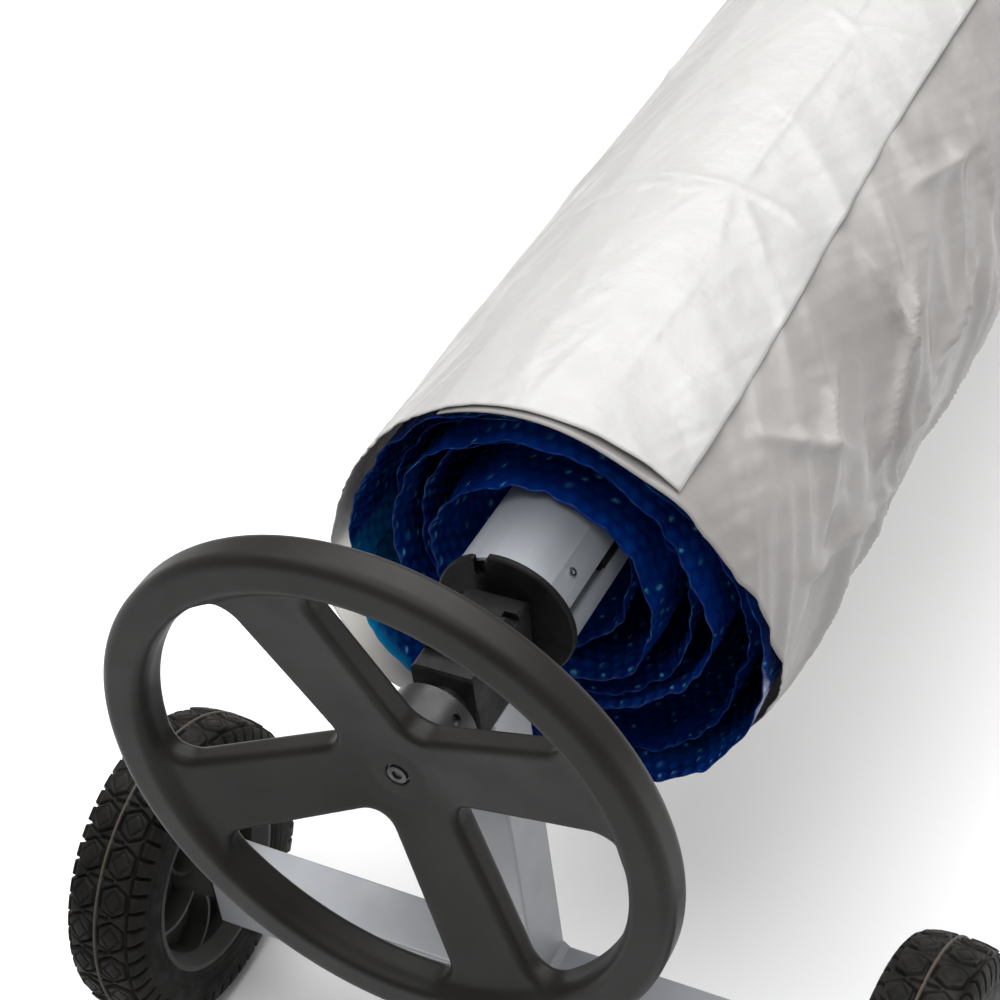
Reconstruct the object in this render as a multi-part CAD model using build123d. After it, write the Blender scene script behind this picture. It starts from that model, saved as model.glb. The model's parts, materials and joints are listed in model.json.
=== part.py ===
from build123d import *
import math
import os

# Pool cover reel. X runs across the stands, Y along the winding tube and Z up.
# Origin: on the floor, below the middle of the whole reel. All sizes in millimetres.

os.makedirs("parts", exist_ok=True)

# ---------------------------------------------------------------- driving dimensions
AXIS_Z = 471.5            # height of the winding axis above the floor
TUBE_RADIUS = 50.0
TUBE_WALL = 2.6
BLANKET_WIDTH = 3000.0    # width of the wound bubble blanket
TUBE_BARE_END = 60.0      # bare tube left at each end of the blanket
SECTION = 50.0            # square profile of the posts and bars
SECTION_WALL = 2.5
BAR_HALF = 270.0
WHEEL_RADIUS = 130.0
WHEEL_HALF_WIDTH = 35.0
WHEEL_X = 317.0           # middle plane of each wheel
SHAFT_RADIUS = 12.5
AXLE_RADIUS = 8.0
HANDWHEEL_RADIUS = 212.5
SPOKE_ANGLES = (22.0, 112.0, 202.0, 292.0)
RUNNING_GAP = 0.05        # radial clearance of every running fit
ROLL_TURNS = 6            # turns of slack blanket, hung from the tube
FILM_THICK = 4.0
COVER_RADIUS = 174.0      # inside of the white cover round the roll
COVER_DROP = 41.0         # its middle hangs this far below the axis
COVER_THICK = 3.0

# ---------------------------------------------------------------- stations along Y
# Measured from the handwheel end, then shifted so that Y = 0 is the reel's middle.
RIM_FRONT = -11.0
RIM_BACK = 19.0
HUB_FRONT = 24.0
HUB_BACK = 46.0
SLEEVE_END = 80.0
BLOCK_FRONT = 95.0
BLOCK_LENGTH = 85.0
POST_Y = 135.8
FLANGE_FRONT = 185.5
FLANGE_THICK = 5.0
TUBE_START = FLANGE_FRONT + FLANGE_THICK
BLANKET_START = TUBE_START + TUBE_BARE_END
BLANKET_END = BLANKET_START + BLANKET_WIDTH
TUBE_END = BLANKET_END + TUBE_BARE_END
MIDDLE = (TUBE_START + TUBE_END) / 2
PLUG_DEPTH = 55.0         # how far each end plug reaches into the tube
COLLAR_WIDTH = 20.0       # locking collar outside the far bearing
COLLAR_START = 2 * MIDDLE - BLOCK_FRONT + 1
DRIVE_END_RADIUS = 10.0   # turned-down end beyond the collar, for a second drive
DRIVE_END_LENGTH = 30.0
FAR_SHAFT_END = COLLAR_START + COLLAR_WIDTH + DRIVE_END_LENGTH
SHIFT = -(RIM_FRONT + FAR_SHAFT_END) / 2

BAR_Z = WHEEL_RADIUS
BLOCK_HALF_WIDTH = 24.0
BLOCK_UP = 28.0           # top of the bearing block's ends above the axis
BLOCK_HUMP = 40.0         # top of its middle above the axis
BLOCK_DOWN = 30.0         # its foot below the axis
POST_TOP = AXIS_Z - BLOCK_DOWN
FOOT_HEIGHT = 30.0
FOOT_X = 235.0
FAR_BAR_Z = FOOT_HEIGHT + SECTION / 2

STRIP_ANGLE = 35.0        # middle of the tube's flat strip
SLOT_ANGLE = 12.0         # middle of the tube's T-slot
SLOT_OPENING = 10.0
LOW = (Align.CENTER, Align.CENTER, Align.MIN)


# ---------------------------------------------------------------- helpers
def across(y):
    """Plane across the tube at station y: local x is X, local y is Z, centred on the axis."""
    return Plane(origin=(0, y + SHIFT, AXIS_Z), x_dir=(1, 0, 0), z_dir=(0, -1, 0))


def prism_y(sketch, y0, y1):
    """Extrude a sketch drawn across the tube, from station y0 to y1."""
    return extrude(across(y1) * sketch, amount=y1 - y0)


def rod_y(radius, y0, y1):
    return prism_y(Circle(radius), y0, y1)


def rod_x(radius, x0, x1, y, z):
    plane = Plane(origin=(x0, y + SHIFT, z), x_dir=(0, 1, 0), z_dir=(1, 0, 0))
    return plane * Cylinder(radius, x1 - x0, align=LOW)


def rod_z(radius, z0, z1, x, y):
    return Pos(x, y + SHIFT, z0) * Cylinder(radius, z1 - z0, align=LOW)


def block(x0, x1, y0, y1, z0, z1):
    centre = Pos((x0 + x1) / 2, (y0 + y1) / 2 + SHIFT, (z0 + z1) / 2)
    return centre * Box(x1 - x0, y1 - y0, z1 - z0)


def radial(angle, y, radius):
    """Plane on the tube's axis frame whose normal points out at this angle."""
    turn = math.radians(angle)
    out = (math.cos(turn), 0, math.sin(turn))
    origin = (radius * out[0], y + SHIFT, AXIS_Z + radius * out[2])
    return Plane(origin=origin, x_dir=(0, 1, 0), z_dir=out)


def far_copy(part):
    """The same piece at the other end of the tube."""
    return mirror(part, about=Plane(origin=(0, MIDDLE + SHIFT, 0), x_dir=(1, 0, 0), z_dir=(0, 1, 0)))


def right_copy(part):
    """The same piece on the other side of the stand."""
    return mirror(part, about=Plane.YZ)


def save(name, *solids):
    shape = solids[0] if len(solids) == 1 else Compound(children=list(solids))
    shape.label = name
    export_step(shape, f"parts/{name}.step")


def turned(points, y=POST_Y, z=BAR_Z):
    """Solid of revolution about a line along X: points are (X, radius)."""
    plane = Plane(origin=(0, y + SHIFT, z), x_dir=(1, 0, 0), z_dir=(0, -1, 0))
    return revolve(plane * Polygon(*points, align=None), axis=Axis((0, y + SHIFT, z), (1, 0, 0)))


def screw(plane, head_radius, head_height, radius, length, hex_size=0.0):
    """Screw with its head above the plane and its thread below it."""
    body = plane * Cylinder(head_radius, head_height, align=LOW)
    body += plane.offset(-length) * Cylinder(radius, length, align=LOW)
    if hex_size:
        socket = plane.offset(head_height * 0.4) * RegularPolygon(hex_size, 6)
        body -= extrude(socket, amount=head_height)
    return body


# ---------------------------------------------------------------- handwheel and its fixing
def handwheel():
    """Dished four-spoke wheel: a turned blank with four windows cut through it."""
    rim_width = 33.0
    rim_thick = RIM_BACK - RIM_FRONT
    rim_middle = HANDWHEEL_RADIUS - rim_width / 2
    rim = Pos(rim_middle, RIM_FRONT + rim_thick / 2) * RectangleRounded(rim_width, rim_thick, 8.5)
    web = Polygon((0, HUB_FRONT), (27, HUB_FRONT), (190, -3), (190, 16), (34, HUB_BACK), (0, HUB_BACK),
                  align=None)
    wheel = revolve(rim + web, axis=Axis.Y)
    spoke_half = 28.0
    spoke_half_at_rim = 37.0
    reach = 240.0
    window = Circle(HANDWHEEL_RADIUS - rim_width) & Polygon(
        (spoke_half, spoke_half), (reach, spoke_half_at_rim), (reach, reach), (spoke_half_at_rim, reach),
        align=None)
    window = fillet(window.vertices(), radius=17)
    for angle in SPOKE_ANGLES:
        wheel -= extrude(Plane.XZ * (Rot(0, 0, angle) * window), amount=100, both=True)
    recess_depth = 3.0
    wheel -= extrude(Plane.XZ * Circle(8.8), amount=-(HUB_FRONT + recess_depth))
    wheel -= extrude(Plane.XZ * Circle(4.1), amount=-HUB_BACK)
    wheel = Pos(0, SHIFT, AXIS_Z) * wheel
    return wheel - rod_y(SHAFT_RADIUS, HUB_BACK - 10, HUB_BACK)


def handwheel_fixing():
    seat = HUB_FRONT + 3.0
    washer_thick = 0.8
    washer = rod_y(8.2, seat - washer_thick, seat) - rod_y(4.2, seat - washer_thick, seat)
    head = across(seat - washer_thick)
    bolt = screw(head, 7.2, 2.8, 4.0, 30.0, hex_size=4.2)
    save("handwheel_washer", washer)
    save("handwheel_bolt", bolt)


def drive_sleeve():
    """Grey collar that carries the handwheel's turn to the shaft, with two grub screws."""
    sleeve = rod_y(32, HUB_BACK, SLEEVE_END) - rod_y(SHAFT_RADIUS, HUB_BACK, SLEEVE_END)
    screws = []
    for angle in (38.0, 218.0):
        sleeve -= radial(angle, 67, 10) * Cylinder(4, 40, align=LOW)
        plug = radial(angle, 67, SHAFT_RADIUS) * Cylinder(4, 15, align=LOW)
        socket = radial(angle, 67, SHAFT_RADIUS + 11) * RegularPolygon(2.3, 6)
        screws.append(plug - extrude(socket, amount=5))
    sleeve = chamfer(sleeve.edges().filter_by(GeomType.CIRCLE).group_by(Axis.Y)[-1], 0.8)
    save("drive_sleeve", sleeve)
    save("sleeve_grub_screws", *screws)


def shaft(y0, y1, threaded):
    body = rod_y(SHAFT_RADIUS, y0, y1)
    if threaded:
        body -= rod_y(4.0, y0, HUB_FRONT + 3.0 - 0.8 + 31.0)
    return body


# ---------------------------------------------------------------- bearing blocks
def bearing():
    """Two-part block on the post: base, cap, bush, and the cap screws driven up from below."""
    y0 = BLOCK_FRONT
    y1 = BLOCK_FRONT + BLOCK_LENGTH
    bush_radius = 15.5
    half = BLOCK_HALF_WIDTH
    base = block(-half, half, y0, y1, AXIS_Z - BLOCK_DOWN, AXIS_Z)
    base = chamfer(base.edges().filter_by(Axis.Z), 1.5)
    cap = block(-half, half, y0, y1, AXIS_Z, AXIS_Z + BLOCK_UP)
    hump = block(-half, half, y0 + 19, y1 - 27, AXIS_Z, AXIS_Z + BLOCK_HUMP)
    hump = chamfer(hump.edges().filter_by(Axis.X).group_by(Axis.Z)[-1], 5)
    cap = chamfer(cap.edges().group_by(Axis.Z)[-1], 2.0) + hump
    bore = rod_y(bush_radius, y0, y1)
    bush = rod_y(bush_radius, y0, y1) - rod_y(SHAFT_RADIUS + RUNNING_GAP, y0, y1)
    screws = []
    for x in (-18.5, 18.5):
        for y in (y0 + 8, y1 - 9):
            seat = POST_TOP + 5
            base -= rod_z(4.2, POST_TOP, seat, x, y)
            base -= rod_z(2.0, seat, AXIS_Z, x, y)
            cap -= rod_z(2.0, AXIS_Z, AXIS_Z + 18, x, y)
            foot = Plane(origin=(x, y + SHIFT, seat), x_dir=(1, 0, 0), z_dir=(0, 0, -1))
            screws.append(screw(foot, 3.8, 3.0, 2.0, BLOCK_DOWN - 5 + 17, hex_size=1.7))
    recess = block(13, half, y1 - 23, y1 - 15, AXIS_Z + BLOCK_UP - 6, AXIS_Z + BLOCK_UP + 1)
    return base - bore, cap - bore - recess, bush, screws


def post_plug():
    """Plastic plug that seats the block on the post's open top."""
    inner = SECTION - 2 * SECTION_WALL
    plug = block(-inner / 2, inner / 2, POST_Y - inner / 2, POST_Y + inner / 2, POST_TOP - 32, POST_TOP)
    return chamfer(plug.edges().group_by(Axis.Z)[0], 2)


# ---------------------------------------------------------------- winding tube
def slot_space(depth_in, width):
    """Radial strip at the T-slot's angle, from depth_in below the surface outwards."""
    middle = TUBE_RADIUS - depth_in / 2 + 3
    return Rot(0, 0, SLOT_ANGLE) * Pos(middle, 0) * Rectangle(depth_in + 6, width)


def tube_section():
    flat_at = TUBE_RADIUS - 0.6
    outline = Circle(TUBE_RADIUS)
    outline -= Rot(0, 0, STRIP_ANGLE) * Pos(flat_at + 10, 0) * Rectangle(20, 40)
    channel = Rot(0, 0, SLOT_ANGLE) * Pos(TUBE_RADIUS - 7, 0) * Rectangle(12, 19)
    wall = outline - Circle(TUBE_RADIUS - TUBE_WALL) + (channel & outline)
    cavity = Rot(0, 0, SLOT_ANGLE) * Pos(TUBE_RADIUS - 7.5, 0) * Rectangle(7, 15)
    return wall - cavity - slot_space(6, SLOT_OPENING)


def inside_section(inner_radius=0.0):
    """What fits the tube's bore, clear of the T-slot channel."""
    fitting = Circle(TUBE_RADIUS - TUBE_WALL - 0.1)
    fitting -= Rot(0, 0, SLOT_ANGLE) * Pos(TUBE_RADIUS - 4, 0) * Rectangle(20, 20)
    if inner_radius:
        fitting -= Circle(inner_radius)
    return fitting


def wall_screw(angle, y):
    on_strip = angle == STRIP_ANGLE
    seat = radial(angle, y, TUBE_RADIUS - 0.6 if on_strip else TUBE_RADIUS)
    return screw(seat, 3.4, 1.6, 1.9, 13.0, hex_size=1.6)


def wall_hole(angle, y):
    return radial(angle, y, TUBE_RADIUS - 20) * Cylinder(1.9, 25, align=LOW)


def end_flange():
    """End plug: a disc against the tube's end, with a notch, and a body inside the tube."""
    notch_x = -15.0
    notch = Pos(notch_x, 38) * Circle(4.5) + Pos(notch_x, 48) * Rectangle(9, 20)
    notch += Pos(notch_x, 54) * Rectangle(14, 10)
    plug = prism_y(Circle(54.0), FLANGE_FRONT, TUBE_START)
    plug = chamfer(plug.edges().filter_by(GeomType.CIRCLE).group_by(Axis.Y)[0], 1.2)
    plug -= prism_y(notch, FLANGE_FRONT, TUBE_START)
    plug += prism_y(inside_section(), TUBE_START, TUBE_START + PLUG_DEPTH)
    plug -= rod_y(SHAFT_RADIUS, FLANGE_FRONT, TUBE_START + PLUG_DEPTH)
    return plug


def tube_parts():
    end_screw_y = TUBE_START + 26
    end_angles = (STRIP_ANGLE, STRIP_ANGLE + 180)
    section = tube_section()
    near = prism_y(section, TUBE_START, MIDDLE)
    flange = end_flange()
    near_screws = []
    for angle in end_angles:
        near -= wall_hole(angle, end_screw_y)
        flange -= wall_hole(angle, end_screw_y)
        near_screws.append(wall_screw(angle, end_screw_y))
    joiner_half = 150.0
    joiner = prism_y(inside_section(TUBE_RADIUS - TUBE_WALL - 4), MIDDLE - joiner_half, MIDDLE + joiner_half)
    joint_screws = []
    for y in (MIDDLE - 100, MIDDLE - 40):
        near -= wall_hole(STRIP_ANGLE, y)
        for station in (y, 2 * MIDDLE - y):
            joiner -= wall_hole(STRIP_ANGLE, station)
            joint_screws.append(wall_screw(STRIP_ANGLE, station))
    save("tube_near_half", near)
    save("tube_far_half", far_copy(near))
    save("tube_joiner", joiner)
    save("joiner_screws", *joint_screws)
    save("near_end_flange", flange)
    save("far_end_flange", far_copy(flange))
    save("near_end_screws", *near_screws)
    save("far_end_screws", *[far_copy(piece) for piece in near_screws])
    strip = Rot(0, 0, SLOT_ANGLE) * Pos(TUBE_RADIUS - 7.5, 0) * Rectangle(6, 14)
    strip += Rot(0, 0, SLOT_ANGLE) * Pos(TUBE_RADIUS - 4, 0) * Rectangle(4, SLOT_OPENING - 1)
    save("blanket_clamp_strip", prism_y(strip, BLANKET_START, BLANKET_END))


# ---------------------------------------------------------------- wound blanket and cover
def half_turn(top, bottom, side):
    """Half ring of film between two heights on the vertical through the axis."""
    radius = (top - bottom) / 2
    ring = Circle(radius + FILM_THICK / 2) - Circle(radius - FILM_THICK / 2)
    half = Pos(side * radius, 0) * Rectangle(2 * radius, 4 * radius)
    return Pos(0, (top + bottom) / 2) * (ring & half)


def soft_roll():
    """Slack spiral of bubble film, hung over the tube, and the white cover round it."""
    first_top = TUBE_RADIUS + FILM_THICK / 2
    first_bottom = -112.0
    top_pitch = 14.5
    bottom_pitch = 19.0
    spiral = None
    for turn in range(ROLL_TURNS):
        top = first_top + top_pitch * turn
        bottom = first_bottom - bottom_pitch * turn
        right = half_turn(top, bottom, 1)
        spiral = right if spiral is None else spiral + right
        if turn < ROLL_TURNS - 1:
            spiral += half_turn(top + top_pitch, bottom, -1)
    save("bubble_blanket", prism_y(spiral, BLANKET_START, BLANKET_END))
    skin = Pos(0, -COVER_DROP) * (Circle(COVER_RADIUS + COVER_THICK) - Circle(COVER_RADIUS))
    save("white_cover", prism_y(skin, BLANKET_START, BLANKET_END))


# ---------------------------------------------------------------- stands
def bar(z):
    half = SECTION / 2
    outer = block(-BAR_HALF, BAR_HALF, POST_Y - half, POST_Y + half, z - half, z + half)
    outer = fillet(outer.edges().filter_by(Axis.X), 2.5)
    inner = half - SECTION_WALL
    return outer - block(-BAR_HALF, BAR_HALF, POST_Y - inner, POST_Y + inner, z - inner, z + inner)


def post(z0):
    half = SECTION / 2
    outer = block(-half, half, POST_Y - half, POST_Y + half, z0, POST_TOP)
    outer = fillet(outer.edges().filter_by(Axis.Z), 2.5)
    inner = half - SECTION_WALL
    return outer - block(-inner, inner, POST_Y - inner, POST_Y + inner, z0, POST_TOP)


def weld(z):
    """Fillet beads either side of the post's foot, and flat beads front and back."""
    bead = 5.0
    half = SECTION / 2
    solids = []
    for side in (-1, 1):
        corner = Plane(origin=(side * half, POST_Y + half - 1 + SHIFT, z), x_dir=(1, 0, 0), z_dir=(0, -1, 0))
        triangle = Polygon((0, 0), (side * bead, 0), (0, bead), align=None)
        solids.append(extrude(corner * triangle, amount=SECTION - 2, dir=(0, -1, 0)))
    for side in (-1, 1):
        face_y = POST_Y + side * half
        strip = rod_x(1.4, -half + 3, half - 3, face_y, z)
        solids.append(strip - block(-half, half, POST_Y - half, POST_Y + half, z - 3, z + 3))
    return solids


def bar_plugs(z, axle_hole):
    inner = SECTION / 2 - SECTION_WALL
    half = SECTION / 2
    left = block(-BAR_HALF, -BAR_HALF + 25, POST_Y - inner, POST_Y + inner, z - inner, z + inner)
    lip = block(-BAR_HALF - 3, -BAR_HALF, POST_Y - half, POST_Y + half, z - half, z + half)
    left += chamfer(lip.edges().group_by(Axis.X)[0], 1.2)
    if axle_hole:
        left -= rod_x(AXLE_RADIUS, -BAR_HALF - 3, -BAR_HALF + 25, POST_Y, z)
    return left, right_copy(left)


def near_stand():
    save("near_base_bar", bar(BAR_Z))
    save("near_bar_end_plugs", *bar_plugs(BAR_Z, True))
    save("near_post", post(BAR_Z + SECTION / 2))
    save("near_weld_beads", *weld(BAR_Z + SECTION / 2))
    save("near_post_plug", post_plug())
    base, cap, bush, screws = bearing()
    save("near_bearing_base", base)
    save("near_bearing_cap", cap)
    save("near_bearing_bush", bush)
    save("near_bearing_screws", *screws)


def rubber_feet():
    feet = []
    screws = []
    for side in (-1, 1):
        x = side * FOOT_X
        foot = Pos(x, POST_Y + SHIFT, 0) * Cone(30, 24, FOOT_HEIGHT, align=LOW)
        foot = fillet(foot.edges().group_by(Axis.Z)[0], 3)
        foot -= rod_z(8, 0, 14, x, POST_Y)
        foot -= rod_z(4, 14, FOOT_HEIGHT, x, POST_Y)
        feet.append(foot)
        seat = Plane(origin=(x, POST_Y + SHIFT, 14), x_dir=(1, 0, 0), z_dir=(0, 0, -1))
        screws.append(screw(seat, 7, 5, 4, FOOT_HEIGHT - 14 + 12, hex_size=3))
    return feet, screws


def far_stand():
    stand_bar = bar(FAR_BAR_Z)
    feet, foot_screws = rubber_feet()
    for x in (-FOOT_X, FOOT_X):
        stand_bar -= rod_z(4, FOOT_HEIGHT - 1, FOOT_HEIGHT + 5, x, POST_Y)
    save("far_base_bar", far_copy(stand_bar))
    save("far_bar_end_plugs", *[far_copy(piece) for piece in bar_plugs(FAR_BAR_Z, False)])
    save("far_post", far_copy(post(FAR_BAR_Z + SECTION / 2)))
    save("far_weld_beads", *[far_copy(piece) for piece in weld(FAR_BAR_Z + SECTION / 2)])
    save("far_post_plug", far_copy(post_plug()))
    save("rubber_feet", *[far_copy(piece) for piece in feet])
    save("foot_screws", *[far_copy(piece) for piece in foot_screws])
    base, cap, bush, screws = bearing()
    save("far_bearing_base", far_copy(base))
    save("far_bearing_cap", far_copy(cap))
    save("far_bearing_bush", far_copy(bush))
    save("far_bearing_screws", *[far_copy(piece) for piece in screws])


def shafts():
    plug_end = TUBE_START + PLUG_DEPTH
    save("near_shaft", shaft(HUB_BACK - 10, plug_end, True))
    far_start = 2 * MIDDLE - plug_end
    collar_end = COLLAR_START + COLLAR_WIDTH
    drive_end = rod_y(DRIVE_END_RADIUS, collar_end, FAR_SHAFT_END)
    save("far_shaft", shaft(far_start, collar_end, False) + drive_end)
    collar = rod_y(24, COLLAR_START, collar_end) - rod_y(SHAFT_RADIUS, COLLAR_START, collar_end)
    middle = (COLLAR_START + collar_end) / 2
    collar -= radial(90, middle, 10) * Cylinder(3, 40, align=LOW)
    grub = radial(90, middle, SHAFT_RADIUS) * Cylinder(3, 9, align=LOW)
    save("far_collar", chamfer(collar.edges().filter_by(GeomType.CIRCLE).group_by(Axis.Y)[-1], 1))
    save("far_collar_grub_screw", grub)


# ---------------------------------------------------------------- wheels and axle
HUB_INNER = BAR_HALF + 3.0 + 2.0     # washer between the bar's end plug and the hub
HUB_OUTER = 342.0


def wheel_rim():
    """Left rim: barrel, web, hub and curved vanes, turned about the axle."""
    x = -WHEEL_X
    barrel = turned([(x - 32, 82), (x - 32, 78), (x - 20, 70), (x + 20, 70), (x + 32, 78), (x + 32, 82),
                     (x + 29, 82), (x + 18, 76), (x - 18, 76), (x - 29, 82)])
    hub = turned([(-HUB_OUTER, 11), (-HUB_OUTER, 19), (x - 4, 24), (x + 4, 24),
                  (-HUB_INNER, 17), (-HUB_INNER, 11)])
    web = turned([(x - 4, 20), (x - 4, 72), (x + 1, 72), (x + 1, 20)])
    rim = barrel + web + hub
    vane_count = 6
    for number in range(vane_count):
        turn = Rot(0, 0, 360 / vane_count * number)
        path = ThreePointArc((18, 0), (47, 13), (72, 2))
        vane = trace(path, line_width=3.2)
        plane = Plane(origin=(x - 22, POST_Y + SHIFT, BAR_Z), x_dir=(0, 1, 0), z_dir=(1, 0, 0))
        rim += extrude(plane * (turn * vane), amount=42)
    return rim - rod_x(11, -HUB_OUTER, -HUB_INNER, POST_Y, BAR_Z)


def wheel_tyre():
    x = -WHEEL_X
    half = WHEEL_HALF_WIDTH
    return turned([
        (x - 29, 82), (x - 32, 82), (x - half, 92), (x - half, 106), (x - 31, 121), (x - 20, 128),
        (x, WHEEL_RADIUS),
        (x + 20, 128), (x + 31, 121), (x + half, 106), (x + half, 92), (x + 32, 82), (x + 29, 82),
        (x + 18, 76), (x - 18, 76)])


def wheel_bushes():
    bore = AXLE_RADIUS + RUNNING_GAP
    depth = 22.0
    outer_end = depth - HUB_OUTER
    inner_end = -HUB_INNER - depth
    outer = turned([(-HUB_OUTER, bore), (-HUB_OUTER, 11), (outer_end, 11), (outer_end, bore)])
    inner = turned([(-HUB_INNER, bore), (-HUB_INNER, 11), (inner_end, 11), (inner_end, bore)])
    return outer, inner


def wheels():
    rim = wheel_rim()
    tyre = wheel_tyre()
    bushes = wheel_bushes()
    save("left_wheel_rim", rim)
    save("right_wheel_rim", right_copy(rim))
    save("left_tyre", tyre)
    save("right_tyre", right_copy(tyre))
    save("left_wheel_bushes", *bushes)
    save("right_wheel_bushes", *[right_copy(piece) for piece in bushes])
    axle_half = HUB_OUTER + 9.0
    save("wheel_axle", rod_x(AXLE_RADIUS, -axle_half, axle_half, POST_Y, BAR_Z))
    gap = 0.3
    washers = []
    nuts = []
    plug_face = BAR_HALF + 3.0
    inner_washer = turned([(-plug_face, AXLE_RADIUS), (-plug_face, 15), (-HUB_INNER + gap, 15),
                           (-HUB_INNER + gap, AXLE_RADIUS)])
    outer_washer = turned([(-HUB_OUTER - gap, AXLE_RADIUS), (-HUB_OUTER - gap, 15),
                           (-HUB_OUTER - 2, 15), (-HUB_OUTER - 2, AXLE_RADIUS)])
    nut_plane = Plane(origin=(-HUB_OUTER - 8, POST_Y + SHIFT, BAR_Z), x_dir=(0, 1, 0), z_dir=(1, 0, 0))
    nut = extrude(nut_plane * (RegularPolygon(13, 6) - Circle(AXLE_RADIUS)), amount=6)
    for piece in (inner_washer, outer_washer):
        washers += [piece, right_copy(piece)]
    nuts += [nut, right_copy(nut)]
    save("axle_washers", *washers)
    save("axle_nuts", *nuts)


# ---------------------------------------------------------------- build
save("handwheel", handwheel())
handwheel_fixing()
drive_sleeve()
shafts()
tube_parts()
soft_roll()
near_stand()
far_stand()
wheels()
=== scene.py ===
import json
import math

import bpy
import numpy as np
from mathutils import Matrix, Vector


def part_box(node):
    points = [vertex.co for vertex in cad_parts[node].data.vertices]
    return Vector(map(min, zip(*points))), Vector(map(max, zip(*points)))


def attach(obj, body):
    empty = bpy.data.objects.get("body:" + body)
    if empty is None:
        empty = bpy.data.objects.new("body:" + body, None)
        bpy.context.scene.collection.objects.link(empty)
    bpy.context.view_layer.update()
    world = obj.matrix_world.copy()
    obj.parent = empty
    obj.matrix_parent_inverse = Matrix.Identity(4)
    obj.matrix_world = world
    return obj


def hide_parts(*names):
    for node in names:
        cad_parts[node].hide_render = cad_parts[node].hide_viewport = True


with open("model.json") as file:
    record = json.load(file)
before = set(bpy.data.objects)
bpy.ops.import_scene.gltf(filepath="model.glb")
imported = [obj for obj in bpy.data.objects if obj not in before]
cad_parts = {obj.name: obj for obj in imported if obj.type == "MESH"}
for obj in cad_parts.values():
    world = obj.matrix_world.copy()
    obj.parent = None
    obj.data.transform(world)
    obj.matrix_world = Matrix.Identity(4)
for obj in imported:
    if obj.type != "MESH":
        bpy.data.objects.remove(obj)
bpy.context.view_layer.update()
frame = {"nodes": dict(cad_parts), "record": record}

# Stations along the reel are counted in metres from the drive end, with the handwheel's rim
# starting at -0.011, and everything round the winding axis is placed from AXIS_Z.
wheel_low, wheel_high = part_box("handwheel")
AXIS_Z = (wheel_low.z + wheel_high.z) / 2
START = wheel_low.y + 0.011
film_low, film_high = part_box("bubble_blanket")
FILM_START = film_low.y
FILM_END = film_high.y
rng = np.random.default_rng(7)


# ------------------------------------------------------------------ helpers
def mesh_object(name, points, faces, body, smooth=True):
    mesh = bpy.data.meshes.new(name)
    mesh.from_pydata([tuple(p) for p in points], [], faces)
    mesh.update()
    piece = bpy.data.objects.new(name, mesh)
    bpy.context.scene.collection.objects.link(piece)
    if smooth:
        mesh.polygons.foreach_set("use_smooth", [True] * len(mesh.polygons))
    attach(piece, body)
    return piece


def mark(piece, name, values):
    """Write one value for each point of the mesh as a named attribute."""
    made = piece.data.attributes.new(name, "FLOAT", "POINT")
    made.data.foreach_set("value", np.asarray(values).reshape(-1).astype(np.float32))


def grid_faces(rows, columns, wrap_rows=False, wrap_columns=False):
    """Quads of a grid of points stored row by row."""
    faces = []
    for i in range(rows if wrap_rows else rows - 1):
        for j in range(columns if wrap_columns else columns - 1):
            i2 = (i + 1) % rows
            j2 = (j + 1) % columns
            faces.append((i * columns + j, i * columns + j2, i2 * columns + j2, i2 * columns + j))
    return faces


def smoothstep(low, high, x):
    t = np.clip((x - low) / (high - low), 0, 1)
    return t * t * (3 - 2 * t)


def turned(low, high, angle):
    """Smooth step of an angle in radians, between two angles in degrees."""
    return smoothstep(math.radians(low), math.radians(high), angle)


class Waves:
    """Smooth random function of two lengths, as a sum of a few sine waves."""

    def __init__(self, wavelength_a, wavelength_b, count=9):
        self.ka = rng.normal(0, 1, count) * 2 * math.pi / wavelength_a * 0.7
        self.kb = rng.normal(0, 1, count) * 2 * math.pi / wavelength_b * 0.7
        self.phase = rng.uniform(0, 2 * math.pi, count)

    def at(self, a, b):
        total = 0
        for ka, kb, phase in zip(self.ka, self.kb, self.phase):
            total = total + np.sin(ka * a + kb * b + phase)
        return total / math.sqrt(len(self.ka) / 2)


# ------------------------------------------------------------------ materials
def material(name, color, roughness, metallic=0.0, specular=0.5):
    made = bpy.data.materials.new(name)
    made.use_nodes = True
    shader = made.node_tree.nodes["Principled BSDF"]
    shader.inputs["Base Color"].default_value = (*color, 1)
    shader.inputs["Roughness"].default_value = roughness
    shader.inputs["Metallic"].default_value = metallic
    shader.inputs["Specular IOR Level"].default_value = specular
    return made


def add_node(made, kind, **inputs):
    node = made.node_tree.nodes.new(kind)
    for key, value in inputs.items():
        node.inputs[key.replace("_", " ")].default_value = value
    return node


def coordinates(made, stretch=(1, 1, 1)):
    """Object coordinates, stretched where a grain runs one way."""
    place = made.node_tree.nodes.new("ShaderNodeTexCoord")
    scale = made.node_tree.nodes.new("ShaderNodeMapping")
    scale.inputs["Scale"].default_value = stretch
    made.node_tree.links.new(place.outputs["Object"], scale.inputs["Vector"])
    return scale.outputs["Vector"]


def mottle(made, dark, light, scale, detail=4.0, low=0.35, high=0.65, stretch=(1, 1, 1)):
    """Base colour that wanders between two tones."""
    links = made.node_tree.links
    noise = add_node(made, "ShaderNodeTexNoise", Scale=scale, Detail=detail)
    links.new(coordinates(made, stretch), noise.inputs["Vector"])
    ramp = made.node_tree.nodes.new("ShaderNodeValToRGB")
    ramp.color_ramp.elements[0].position = low
    ramp.color_ramp.elements[0].color = (*dark, 1)
    ramp.color_ramp.elements[1].position = high
    ramp.color_ramp.elements[1].color = (*light, 1)
    links.new(noise.outputs["Fac"], ramp.inputs["Fac"])
    links.new(ramp.outputs["Color"], made.node_tree.nodes["Principled BSDF"].inputs["Base Color"])
    return ramp


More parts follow.
